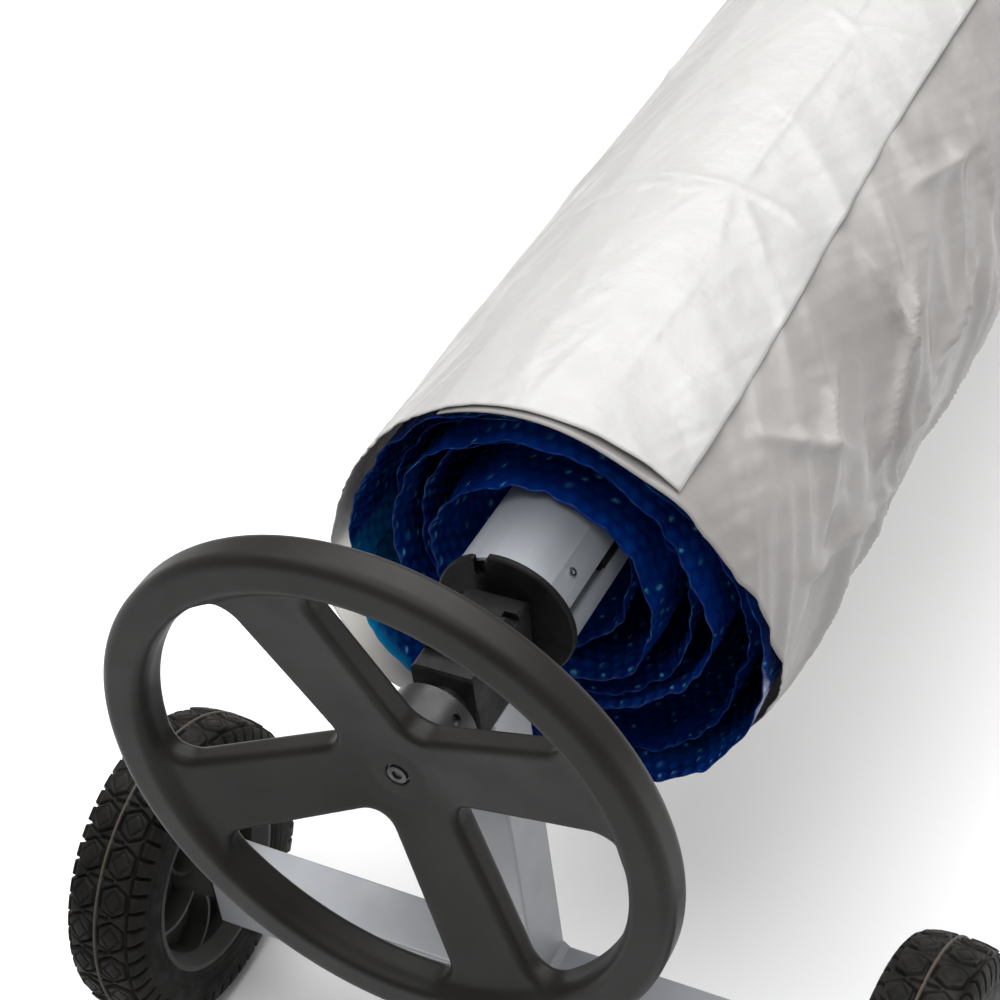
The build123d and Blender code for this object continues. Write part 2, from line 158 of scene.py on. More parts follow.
def vary_roughness(made, low, high, scale, stretch=(1, 1, 1)):
    links = made.node_tree.links
    noise = add_node(made, "ShaderNodeTexNoise", Scale=scale, Detail=6.0)
    links.new(coordinates(made, stretch), noise.inputs["Vector"])
    spread = add_node(made, "ShaderNodeMapRange", From_Min=0.3, From_Max=0.7, To_Min=low, To_Max=high)
    links.new(noise.outputs["Fac"], spread.inputs["Value"])
    links.new(spread.outputs["Result"], made.node_tree.nodes["Principled BSDF"].inputs["Roughness"])


def attribute_mix(made, below, attribute, color):
    """Colour output that goes from the one below to another colour where an attribute is 1."""
    links = made.node_tree.links
    where = made.node_tree.nodes.new("ShaderNodeAttribute")
    where.attribute_name = attribute
    mix = made.node_tree.nodes.new("ShaderNodeMix")
    mix.data_type = "RGBA"
    mix.inputs["B"].default_value = (*color, 1)
    links.new(where.outputs["Fac"], mix.inputs["Factor"])
    links.new(below, mix.inputs["A"])
    return mix.outputs["Result"]


def second_tone(made, tone, attribute, color):
    """Another base colour where a named attribute of the mesh is 1."""
    mixed = attribute_mix(made, tone.outputs["Color"], attribute, color)
    made.node_tree.links.new(mixed, made.node_tree.nodes["Principled BSDF"].inputs["Base Color"])


def let_light_through(made, color, attribute, least, most):
    """Mix in a translucent shader, by a share that an attribute raises from least to most."""
    nodes, links = made.node_tree.nodes, made.node_tree.links
    through = nodes.new("ShaderNodeBsdfTranslucent")
    through.inputs["Color"].default_value = (*color, 1)
    where = nodes.new("ShaderNodeAttribute")
    where.attribute_name = attribute
    share = nodes.new("ShaderNodeMapRange")
    share.inputs["To Min"].default_value = least
    share.inputs["To Max"].default_value = most
    both = nodes.new("ShaderNodeMixShader")
    links.new(where.outputs["Fac"], share.inputs["Value"])
    links.new(share.outputs["Result"], both.inputs[0])
    links.new(nodes["Principled BSDF"].outputs[0], both.inputs[1])
    links.new(through.outputs[0], both.inputs[2])
    links.new(both.outputs[0], nodes["Material Output"].inputs["Surface"])


def grain(made, layers, stretch=(1, 1, 1)):
    """Bump from one or more noise layers, each (scale, strength, distance in metres)."""
    links = made.node_tree.links
    vector = coordinates(made, stretch)
    normal = None
    for scale, strength, distance in layers:
        noise = add_node(made, "ShaderNodeTexNoise", Scale=scale, Detail=3.0)
        links.new(vector, noise.inputs["Vector"])
        bump = add_node(made, "ShaderNodeBump", Strength=strength, Distance=distance)
        links.new(noise.outputs["Fac"], bump.inputs["Height"])
        if normal is not None:
            links.new(normal, bump.inputs["Normal"])
        normal = bump.outputs["Normal"]
    links.new(normal, made.node_tree.nodes["Principled BSDF"].inputs["Normal"])


charcoal = material("charcoal_moulded_plastic", (0.018, 0.017, 0.016), 0.4, specular=0.13)
mottle(charcoal, (0.0155, 0.0146, 0.0137), (0.0205, 0.0194, 0.0183), 14, 6)
vary_roughness(charcoal, 0.34, 0.46, 30)
grain(charcoal, [(1300, 0.2, 0.0004), (260, 0.06, 0.0006)])

grey = material("grey_moulded_plastic", (0.034, 0.033, 0.031), 0.4, specular=0.3)
mottle(grey, (0.028, 0.027, 0.0255), (0.042, 0.041, 0.039), 22, 6)
vary_roughness(grey, 0.36, 0.55, 40)
grain(grey, [(1200, 0.12, 0.0004)])

sleeve = material("grey_coated_sleeve", (0.013, 0.013, 0.014), 0.38, specular=0.34)
mottle(sleeve, (0.01, 0.01, 0.011), (0.016, 0.016, 0.017), 60, 6)
vary_roughness(sleeve, 0.3, 0.45, 90)
grain(sleeve, [(1600, 0.08, 0.0003)])

black = material("black_moulded_plastic", (0.006, 0.006, 0.006), 0.55, specular=0.14)
mottle(black, (0.005, 0.005, 0.005), (0.011, 0.0107, 0.0104), 40, 6)
vary_roughness(black, 0.4, 0.65, 60)
grain(black, [(700, 0.3, 0.0007), (120, 0.25, 0.0015)])

bush = material("bearing_plastic", (0.02, 0.02, 0.02), 0.45)
mottle(bush, (0.014, 0.014, 0.014), (0.026, 0.026, 0.026), 60)
grain(bush, [(900, 0.1, 0.0003)])

aluminium = material("satin_anodised_aluminium", (0.31, 0.32, 0.34), 0.42, metallic=0.25)
mottle(aluminium, (0.29, 0.30, 0.32), (0.33, 0.34, 0.36), 9, 6)
vary_roughness(aluminium, 0.36, 0.5, 35)
grain(aluminium, [(1400, 0.05, 0.0002)])

drawn = material("drawn_anodised_aluminium", (0.34, 0.36, 0.385), 0.5, metallic=0.4)
mottle(drawn, (0.325, 0.345, 0.37), (0.355, 0.375, 0.40), 60, 4, stretch=(1, 0.02, 1))
vary_roughness(drawn, 0.45, 0.56, 300, stretch=(1, 0.01, 1))
grain(drawn, [(1500, 0.05, 0.0001)])

steel = material("zinc_plated_steel", (0.55, 0.55, 0.54), 0.3, metallic=1.0)
mottle(steel, (0.42, 0.42, 0.42), (0.64, 0.64, 0.62), 120)
vary_roughness(steel, 0.22, 0.42, 200)
grain(steel, [(1800, 0.08, 0.0002)])

dark_steel = material("blackened_steel", (0.05, 0.05, 0.052), 0.35, metallic=0.7)
mottle(dark_steel, (0.035, 0.035, 0.036), (0.09, 0.09, 0.09), 150)
vary_roughness(dark_steel, 0.28, 0.5, 200)
grain(dark_steel, [(1500, 0.1, 0.0002)])

rubber = material("tyre_rubber", (0.008, 0.0072, 0.0064), 0.55, specular=0.14)
tone = mottle(rubber, (0.0045, 0.0041, 0.0036), (0.0135, 0.0121, 0.0108), 35, 8)
second_tone(rubber, tone, "mould_line", (0.075, 0.062, 0.050))
vary_roughness(rubber, 0.5, 0.78, 60)
grain(rubber, [(1100, 0.2, 0.0005), (160, 0.1, 0.0006)])

foot_rubber = material("foot_rubber", (0.018, 0.018, 0.018), 0.7)
mottle(foot_rubber, (0.013, 0.013, 0.013), (0.028, 0.027, 0.027), 50, 8)
grain(foot_rubber, [(900, 0.2, 0.0005)])

by_slot = {
    "charcoal_plastic": charcoal,
    "grey_plastic": grey,
    "black_plastic": black,
    "bush_plastic": bush,
    "anodised_aluminium": aluminium,
    "steel": steel,
    "tyre_rubber": rubber,
    "foot_rubber": foot_rubber,
}
special = {
    "drive_sleeve": sleeve,
    "tube_near_half": drawn,
    "tube_far_half": drawn,
    "handwheel_bolt": dark_steel,
    "handwheel_washer": dark_steel,
    "near_bearing_screws": black,
    "far_bearing_screws": black,
}
for part in frame["record"]["subparts"]:
    node = frame["nodes"][part["node"]]
    finish = special.get(part["node"], by_slot.get(part["material_slot"]))
    if finish is not None:
        node.data.materials.clear()
        node.data.materials.append(finish)


# ------------------------------------------------------------------ handwheel
def both_rounded(a, b, radius):
    """Distance to what two shapes share, with the edge between them rounded."""
    corner = np.hypot(np.maximum(radius + a, 0), np.maximum(radius + b, 0))
    return np.minimum(-radius, np.maximum(a, b)) + corner


def joined_rounded(a, b, radius):
    """Distance to two shapes together, with a fillet between them."""
    corner = np.hypot(np.maximum(radius - a, 0), np.maximum(radius - b, 0))
    return np.maximum(radius, np.minimum(a, b)) - corner


def handwheel_distance(p):
    """Distance from points to the moulded wheel: X and Z from its middle, Y from the drive end."""
    x, y, z = p.T
    r = np.hypot(x, z)
    rim_corner = 0.0085
    rim_r = np.abs(r - 0.196) - 0.0165 + rim_corner
    rim_y = np.abs(y - 0.004) - 0.015 + rim_corner
    rim = np.hypot(np.maximum(rim_r, 0), np.maximum(rim_y, 0)) - rim_corner
    rim = rim + np.minimum(np.maximum(rim_r, rim_y), 0)
    front = np.interp(r, (0, 0.022, 0.034, 0.190), (0.0240, 0.0240, 0.0226, -0.0030)) - y
    back = y - np.interp(r, (0, 0.034, 0.190), (0.046, 0.046, 0.016))
    web = np.maximum(np.maximum(front, back), r - 0.190)
    body = joined_rounded(rim, web, 0.007)
    slope = math.atan2(9, 212)
    for degrees in (22, 112, 202, 292):
        turn = math.radians(degrees)
        u = x * math.cos(turn) + z * math.sin(turn)
        v = z * math.cos(turn) - x * math.sin(turn)
        side_1 = (u - 0.028) * math.sin(slope) - (v - 0.028) * math.cos(slope)
        side_2 = (v - 0.028) * math.sin(slope) - (u - 0.028) * math.cos(slope)
        window = both_rounded(both_rounded(side_1, side_2, 0.019), r - 0.1795, 0.024)
        body = both_rounded(body, -window, 0.0058)
    body = both_rounded(body, -np.maximum(r - 0.0088, y - 0.0270), 0.0006)
    body = np.maximum(body, 0.0041 - r)
    return np.maximum(body, -np.maximum(r - 0.0125, 0.036 - y))


def neighbour_mean(mesh, points):
    pairs = np.empty(len(mesh.edges) * 2, np.int32)
    mesh.edges.foreach_get("vertices", pairs)
    a, b = pairs[0::2], pairs[1::2]
    total = np.zeros_like(points)
    np.add.at(total, a, points[b])
    np.add.at(total, b, points[a])
    count = np.bincount(pairs, minlength=len(points))
    return total / np.maximum(count, 1)[:, None]


def rounded_handwheel():
    """The moulded wheel: an even mesh of the CAD wheel, drawn onto the exact rounded shape."""
    wheel = frame["nodes"]["handwheel"].copy()
    wheel.data = frame["nodes"]["handwheel"].data.copy()
    wheel.name = "moulded_handwheel"
    for key in list(wheel.keys()):
        del wheel[key]
    wheel.parent = None
    bpy.context.scene.collection.objects.link(wheel)
    remesh = wheel.modifiers.new("even", "REMESH")
    remesh.mode = "VOXEL"
    remesh.voxel_size = 0.0019
    graph = bpy.context.evaluated_depsgraph_get()
    final = bpy.data.meshes.new_from_object(wheel.evaluated_get(graph))
    wheel.modifiers.clear()
    wheel.data = final
    flat = np.empty(len(final.vertices) * 3)
    final.vertices.foreach_get("co", flat)
    origin = np.array([0, START, AXIS_Z])
    points = flat.reshape(-1, 3) - origin
    tiny = 0.00005
    for round_number in range(12):
        if round_number < 8:
            points = points + 0.5 * (neighbour_mean(final, points) - points)
        for _ in range(2):
            here = handwheel_distance(points)
            slope = np.stack([
                handwheel_distance(points + tiny * axis) - handwheel_distance(points - tiny * axis)
                for axis in np.eye(3)], axis=1) / (2 * tiny)
            size_2 = np.maximum((slope ** 2).sum(1), 0.3)
            points = points - np.clip(here / size_2, -0.004, 0.004)[:, None] * slope
    final.vertices.foreach_set("co", (points + origin).reshape(-1))
    final.update()
    final.materials.clear()
    final.materials.append(charcoal)
    final.polygons.foreach_set("use_smooth", [True] * len(final.polygons))
    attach(wheel, "reel")
    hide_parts("handwheel")
    return wheel


rounded_handwheel()


# ------------------------------------------------------------------ tyres
def tyre(side, node):
    """Pneumatic-look tyre: smooth ringed sidewalls and a tread of staggered six-sided blocks."""
    low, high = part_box(node)
    middle = (low + high) / 2
    radius = (high.z - low.z) / 2
    half = (high.x - low.x) / 2
    outline = np.array([
        (-0.029, 0.0820), (-0.0315, 0.0815), (-0.0332, 0.0840), (-0.0330, 0.0868), (-0.0338, 0.0880),
        (-0.0346, 0.0930), (-0.0343, 0.0938), (-0.0349, 0.0948), (-0.0350, 0.1040), (-0.0344, 0.1050),
        (-0.0347, 0.1062), (-0.0338, 0.1140), (-0.0322, 0.1200), (-0.0290, 0.1248), (-0.0240, 0.1276),
        (-0.0160, 0.1292), (-0.0080, 0.1298), (0.0, 0.1300)])
    outline = np.concatenate([outline, (outline * (-1, 1))[-2::-1]])
    outline[:, 0] *= half / 0.035
    outline[:, 1] *= radius / 0.13
    steps = np.concatenate([[0], np.cumsum(np.hypot(*np.diff(outline, axis=0).T))])
    fine = np.linspace(0, steps[-1], 150)
    x = np.interp(fine, steps, outline[:, 0])
    r = np.interp(fine, steps, outline[:, 1])
    across = fine - steps[-1] / 2
    normal_x = -np.gradient(r, fine)
    normal_r = np.gradient(x, fine)
    around_count = 800
    pitch_count = 26
    pitch = 2 * math.pi * radius / pitch_count
    angle = np.linspace(0, 2 * math.pi, around_count, endpoint=False)
    along = (angle * radius / pitch)[:, None]
    reach = np.abs(across)[None, :]
    step = (along % 1 - 0.5) * pitch
    cell_middle = 0.0150
    dx, ds = np.abs(reach - cell_middle), np.abs(step)
    hexagon = np.maximum(dx / 0.0115, (dx * 0.55 + ds) / 0.0135)
    lozenge = (dx / 0.0080 + ds / 0.0100)
    hex_groove = 1 - smoothstep(0.0005, 0.0015, np.abs(hexagon - 1) * 0.0115)
    pad_groove = 1 - smoothstep(0.0003, 0.0010, np.abs(lozenge - 1) * 0.0058)
    centre = (1 - smoothstep(0.0010, 0.0024, np.abs(ds - pitch / 2))) * (reach < 0.012)
    lug_step = np.abs(((along + 0.5) * 2) % 1 - 0.5) * pitch / 2
    lug_groove = (1 - smoothstep(0.0009, 0.0022, lug_step)) * smoothstep(0.0268, 0.0285, reach)
    ring_groove = 1 - smoothstep(0.0008, 0.0018, np.abs(reach - 0.0285))
    groove = np.maximum(np.maximum(hex_groove, lug_groove), np.maximum(ring_groove, centre))
    tread = smoothstep(0.0485, 0.0440, reach)
    mould_line = 1 - smoothstep(0.0005, 0.0012, reach)
    dip = 0.0012 * (hexagon > 1) * (reach < 0.0285)
    depth = tread * np.maximum(0.0046 * groove, np.maximum(0.0013 * pad_groove, dip))
    depth = np.where(reach < 0.0012, np.minimum(depth, 0.0012 - 0.0014 * mould_line), depth)
    rr = r[None, :] - depth * normal_r[None, :]
    xx = x[None, :] - depth * normal_x[None, :]
    points = np.stack([
        middle.x + xx,
        middle.y + rr * np.cos(angle)[:, None],
        middle.z + rr * np.sin(angle)[:, None]], axis=-1).reshape(-1, 3)
    faces = grid_faces(around_count, len(fine), wrap_rows=True, wrap_columns=True)
    piece = mesh_object(side + "_treaded_tyre", points, faces, side + "_wheel")
    mark(piece, "mould_line", mould_line + 0 * angle[:, None])
    piece.data.materials.append(rubber)
    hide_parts(node)
    return piece


tyre("left", "left_tyre")
tyre("right", "right_tyre")


# ------------------------------------------------------------------ wound bubble blanket
def film_material():
    """Thin blue film with rows of bubbles, some with a painted highlight, that lets a little light
    through; a lighter teal is painted as backlight where only one layer hangs.
    """
    made = material("blue_bubble_film", (0.001, 0.02, 0.16), 0.2, specular=0.35)
    shader = made.node_tree.nodes["Principled BSDF"]
    shader.inputs["Transmission Weight"].default_value = 0.2
    shader.inputs["IOR"].default_value = 1.33
    tone = mottle(made, (0.0005, 0.011, 0.13), (0.0012, 0.035, 0.27), 18, 6, 0.3, 0.75)
    mixed = attribute_mix(made, tone.outputs["Color"], "bubble", (0.002, 0.09, 0.42))
    # painted highlight: a bright cyan spot at some bubbles, standing in for a reflection
    mixed = attribute_mix(made, mixed, "painted_bubble_highlight", (0.20, 0.80, 1.0))
    # painted backlight: a lighter teal base colour where only one layer hangs, standing in for light
    # shining through it; more light is also let through there
    mixed = attribute_mix(made, mixed, "one_layer_painted_backlight", (0.006, 0.40, 0.66))
    made.node_tree.links.new(mixed, shader.inputs["Base Color"])
    let_light_through(made, (0.03, 0.50, 0.88), "one_layer_painted_backlight", 0.07, 0.45)
    vary_roughness(made, 0.14, 0.34, 50)
    grain(made, [(160, 0.35, 0.0012), (700, 0.2, 0.0005)])
    return made


blue_film = film_material()
cut_edge_painted_highlights = material("blue_cut_edge_with_painted_highlights", (0.002, 0.04, 0.2), 0.6, specular=0.1)
# Painted highlight: the lighter teal patches in the cut edge's tone stand in for highlights along the
# edges; the dark tone is the edge's own colour.
mottle(cut_edge_painted_highlights, (0.001, 0.018, 0.13), (0.01, 0.30, 0.55), 90, 3, 0.55, 0.8)


def ring(angle, values):
    """Smooth closed curve through values given at equal steps of angle from +X."""
    values = np.asarray(values)
    count = len(values)
    place = np.asarray(angle) / (2 * math.pi) * count
    low = np.floor(place).astype(int)
    t = place - low
    p0, p1, p2, p3 = (values[(low + k) % count] for k in (-1, 0, 1, 2))
    return 0.5 * (2 * p1 + (p2 - p0) * t + (2 * p0 - 5 * p1 + 4 * p2 - p3) * t ** 2
                  + (3 * p1 - p0 - 3 * p2 + p3) * t ** 3)


# The outermost turn's radius every 30 degrees from +X, about a line just below the axis.
ROLL_X, ROLL_Z = -0.007, -0.045
ROLL_OUTLINE = (
    0.1735, 0.1685, 0.1690, 0.1725, 0.1705, 0.1655,
    0.1740, 0.1830, 0.1850, 0.1855, 0.1835, 0.1765)
TURNS = 5.5
# Left, right, top and bottom reach from the axis after each turn, in metres: the film starts in
# the tube's slot and hangs slack below it.
REACH = np.array([
    (-0.088, 0.0500, 0.053, -0.104),
    (-0.113, 0.0780, 0.058, -0.124),
    (-0.129, 0.1030, 0.086, -0.146),
    (-0.140, 0.1200, 0.099, -0.160),
    (-0.150, 0.1340, 0.107, -0.178)])


def inner_loop(level, angle):
    left, right, top, bottom = (np.interp(level, np.arange(len(REACH)), REACH[:, k]) for k in range(4))
    bulge = 1 + 0.055 * np.cos(angle - math.radians(40)) * smoothstep(0.3, 0.9, level)
    x = (left + right) / 2 + (right - left) / 2 * bulge * np.cos(angle)
    z = (top + bottom) / 2 + (top - bottom) / 2 * bulge * np.sin(angle)
    return x, z


def outer_loop(level, angle):
    radius = ring(angle, ROLL_OUTLINE) - 0.0020 * (TURNS - level)
    return ROLL_X + radius * np.cos(angle), ROLL_Z + radius * np.sin(angle)


def spiral(turn):
    """Centre line of the film: X and height from the axis, for a number of turns."""
    angle = math.radians(12) - turn * 2 * math.pi
    x_in, z_in = inner_loop(np.minimum(turn, 4.0), angle)
    x_out, z_out = outer_loop(turn, angle)
    mix = smoothstep(3.6, 4.5, turn)
    return x_in + (x_out - x_in) * mix, z_in + (z_out - z_in) * mix


def stations(start, end, fine, fine_step, middle_count):
    near = np.arange(0, fine, fine_step)
    middle = np.linspace(fine, end - start - 0.06, middle_count)
    far = np.linspace(end - start - 0.05, end - start, 8)
    return np.concatenate([near, middle, far])


# How far each turn's near edge sits inside the roll's end.
EDGE_TURN = (0.0, 0.2, 0.35, 0.8, 1.25, 1.5, 2.1, 2.35, 3.0, 3.3, 3.6, 4.3, 4.6, 5.5)
EDGE_DEPTH = (0.03, 0.02, 0.004, 0.0, 0.002, 0.022, 0.016, 0.002, 0.001, 0.003, 0.02, 0.018, 0.002, 0.0)


def bubble_blanket():
    turn = np.linspace(0, TURNS, 20000)
    x, z = spiral(turn)
    arc = np.concatenate([[0], np.cumsum(np.hypot(np.diff(x), np.diff(z)))])
    length = arc[-1]
    columns = int(length / 0.0026)
    along = np.linspace(0, length, columns)
    turn = np.interp(along, arc, turn)
    x, z = spiral(turn)
    deep = stations(0, FILM_END - FILM_START, 0.13, 0.0027, 34)
    a, b = np.meshgrid(along, deep, indexing="ij")
    t = turn[:, None] + 0 * b
    tangent_x = np.gradient(x, along)[:, None]
    tangent_z = np.gradient(z, along)[:, None]
    out_x, out_z = -tangent_z, tangent_x
    loose = 1 - smoothstep(4.3, 5.0, t)
    slack = Waves(0.16, 0.9).at(a, b) * 0.0028 * (0.2 + 0.8 * loose)
    ripple = Waves(0.040, 0.20).at(a, b) * 0.0012 * (0.5 + 0.5 * loose)
    near = np.exp(-b / 0.04)
    frill = Waves(0.026, 0.06).at(a, b) * 0.0016 * near * (0.35 + 0.65 * loose)
    pitch = 0.0135
    row_pitch = pitch * 0.866
    row = np.floor(b / row_pitch)
    local_a = (a / pitch + 0.5 * (row % 2)) % 1 - 0.5
    local_b = (b / row_pitch) % 1 - 0.5
    fullness = 0.45 + 0.55 * smoothstep(-0.9, 0.9, Waves(0.07, 0.07).at(a, b))
    from_middle = np.hypot(local_a * pitch, local_b * pitch * 0.866)
    dome = fullness * (1 - smoothstep(0.55, 1.0, from_middle / 0.0056))
    offset = slack + ripple + frill - 0.0016 * dome * (b < 0.13)
    offset = offset * smoothstep(0.0, 0.12, t)
    set_in = np.interp(t, EDGE_TURN, EDGE_DEPTH)
    wander = Waves(0.12, 9.0).at(a, 0 * b) * 0.0016 + Waves(0.016, 9.0).at(a, 0 * b) * 0.0007
    shift = (set_in + wander) * np.exp(-b / 0.09)
    px = x[:, None] + offset * out_x
    pz = AXIS_Z + z[:, None] + offset * out_z
    py = np.minimum(FILM_START + b + shift + 0.003, FILM_END)
    points = np.stack([px, py, pz], axis=-1).reshape(-1, 3)
    piece = mesh_object("bubble_film_roll", points, grid_faces(columns, len(deep)), "reel")
    mark(piece, "bubble", dome * 0.45)
    number = np.floor(a / pitch + 0.5 * (row % 2)) * 57.31 + row * 13.17
    # Painted highlight: a small bright spot near the middle of some bubbles, painted into the base
    # colour.
    lucky = (np.sin(number * 12.9898) * 43758.5453) % 1 > 0.74
    core = 1 - smoothstep(0.0006, 0.0023, np.hypot(local_a * pitch - 0.001, local_b * pitch * 0.866))
    # Painted backlight: where only the outermost layer hangs at the lower left, the base colour is made
    # teal as if lit from behind.
    heading = np.arctan2(z + 0.045, x)[:, None]
    painted_backlight_mask = smoothstep(4.4, 4.55, t) * np.exp(-b / 0.06)
    painted_backlight_mask = painted_backlight_mask * np.exp(-((np.degrees(heading) + 158) / 22) ** 2)
    mark(piece, "one_layer_painted_backlight", 0.8 * painted_backlight_mask + 0 * a)
    mark(piece, "painted_bubble_highlight", core * lucky)
    piece.data.materials.append(blue_film)
    piece.data.materials.append(cut_edge_painted_highlights)
    thick = piece.modifiers.new("thickness", "SOLIDIFY")
    thick.material_offset_rim = 1
    thick.thickness = 0.0007
    thick.offset = 0
    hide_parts("bubble_blanket")
    return piece


bubble_blanket()


# ------------------------------------------------------------------ white cover sheet
def crumple(made, scale, strength, distance):
    """Sharp little creases between flat facets, added over the bump that the material has."""
    links = made.node_tree.links
    shader = made.node_tree.nodes["Principled BSDF"]
    before = shader.inputs["Normal"].links[0].from_socket
    vector = coordinates(made, (1, 0.6, 1))
    bend = add_node(made, "ShaderNodeTexNoise", Scale=scale * 0.7, Detail=3.0)
    links.new(vector, bend.inputs["Vector"])
    moved = made.node_tree.nodes.new("ShaderNodeVectorMath")
    moved.operation = "MULTIPLY_ADD"
    moved.inputs[1].default_value = (0.12, 0.12, 0.12)
    links.new(bend.outputs["Color"], moved.inputs[0])
    links.new(vector, moved.inputs[2])
    cells = add_node(made, "ShaderNodeTexVoronoi", Scale=scale)
    cells.feature = "SMOOTH_F1"
    links.new(moved.outputs["Vector"], cells.inputs["Vector"])
    bump = add_node(made, "ShaderNodeBump", Strength=strength, Distance=distance)
    links.new(cells.outputs["Distance"], bump.inputs["Height"])
    links.new(before, bump.inputs["Normal"])
    links.new(bump.outputs["Normal"], shader.inputs["Normal"])


def sheet_material():
    """Thin white plastic sheet: greyer where one layer lies on the blue film than where two do, with
    painted light on the roll's left side, where the single layer is made lighter.
    """
    made = material("white_plastic_sheet", (0.58, 0.575, 0.565), 0.4, specular=0.4)
    shader = made.node_tree.nodes["Principled BSDF"]
    shader.inputs["Subsurface Weight"].default_value = 0.15
    shader.inputs["Subsurface Radius"].default_value = (0.004, 0.0038, 0.0034)
    shader.inputs["Subsurface Scale"].default_value = 0.5
    tone = mottle(made, (0.285, 0.272, 0.265), (0.37, 0.355, 0.346), 7, 5)
    # Lighter where two layers lie, and also painted light: the single layer over the roll's left side
    # is made lighter, as the side the light falls on.
    second_tone(made, tone, "double_layer_and_painted_light", (0.47, 0.466, 0.456))
    let_light_through(made, (0.92, 0.905, 0.87), "hanging_free", 0.1, 0.9)
    vary_roughness(made, 0.28, 0.46, 25)
    grain(made, [(2200, 0.06, 0.0002), (38, 0.3, 0.003), (110, 0.3, 0.0012)])
    crumple(made, 11, 0.6, 0.005)
    crumple(made, 27, 0.45, 0.0024)
    return made


white_sheet = sheet_material()


# Creases of the sheet, each from one point to another: the angle round the roll in degrees from
# +X, the distance from the roll's near end in metres, and the ridge's half width and height.
TOP_CREASES = (
    ((117, 0.271), (104, 0.290), 0.0040, 0.0016),
    ((106, 0.286), (92, 0.312), 0.0035, 0.0020),
    ((103, 0.303), (79, 0.309), 0.0045, 0.0022),
    ((96, 0.296), (82, 0.303), 0.0030, 0.0014),
    ((80, 0.310), (63, 0.308), 0.0040, 0.0014),
    ((66, 0.309), (53, 0.300), 0.0050, 0.0012),
    ((78, 0.313), (77, 0.545), 0.0030, 0.0012),
    ((79, 0.300), (74, 0.236), 0.0045, 0.0016),
    ((75, 0.302), (62, 0.245), 0.0040, 0.0013),
    ((83, 0.296), (88, 0.262), 0.0040, 0.0010),
    ((73, 0.201), (74, 0.072), 0.0030, 0.0008),
    ((77, 0.560), (88, 0.585), 0.0040, 0.0016),
    ((79, 0.565), (62, 0.590), 0.0040, 0.0016),
    ((80, 0.570), (79, 0.700), 0.0030, 0.0012),
    ((131, 0.189), (122, 0.271), 0.0070, 0.0016),
    ((136, 0.120), (128, 0.215), 0.0080, 0.0014),
    ((118, 0.084), (121, 0.194), 0.0080, 0.0014),
    ((139, 0.330), (124, 0.400), 0.0080, 0.0016),
    ((126, 0.480), (138, 0.560), 0.0080, 0.0016),
    ((96, 0.030), (99, 0.230), 0.0090, 0.0007),
    ((90, 0.018), (84, 0.113), 0.0060, 0.0008),
    ((112, 0.330), (110, 0.760), 0.0060, 0.0008),
)
SIDE_CREASES = (
    ((40, 0.440), (32, 0.530), 0.0120, 0.0035),
    ((44, 0.331), (17, 0.300), 0.0110, 0.0034),
    ((30, 0.372), (6, 0.204), 0.0100, 0.0038),
    ((12, 0.463), (2, 0.249), 0.0100, 0.0034),
    ((40, 0.560), (15, 0.518), 0.0110, 0.0036),
    ((24, 0.640), (4, 0.520), 0.0110, 0.0036),
    ((36, 0.720), (14, 0.810), 0.0110, 0.0034),
    ((40, 0.100), (16, 0.180), 0.0120, 0.0026),
    ((8, 0.060), (-4, 0.230), 0.0100, 0.0030),
    ((34, 0.225), (22, 0.130), 0.0090, 0.0024),
)


def crease(a, b, start, end, width, height):
    """Soft ridge along a line between two points of the flat sheet, fading at both ends."""
    dx, dy = end[0] - start[0], end[1] - start[1]
    length = math.hypot(dx, dy)
    t = ((a - start[0]) * dx + (b - start[1]) * dy) / length
    off = ((a - start[0]) * dy - (b - start[1]) * dx) / length
    off = off + 0.15 * width * np.sin(t * 60 + start[0] * 9)
    fade = smoothstep(-0.02, 0.03, t) * (1 - smoothstep(length - 0.03, length + 0.02, t))
    return height * fade * np.exp(-(np.abs(off) / width) ** 1.3)


MEAN_RADIUS = 0.175     # turns an angle round the roll into a length along the sheet


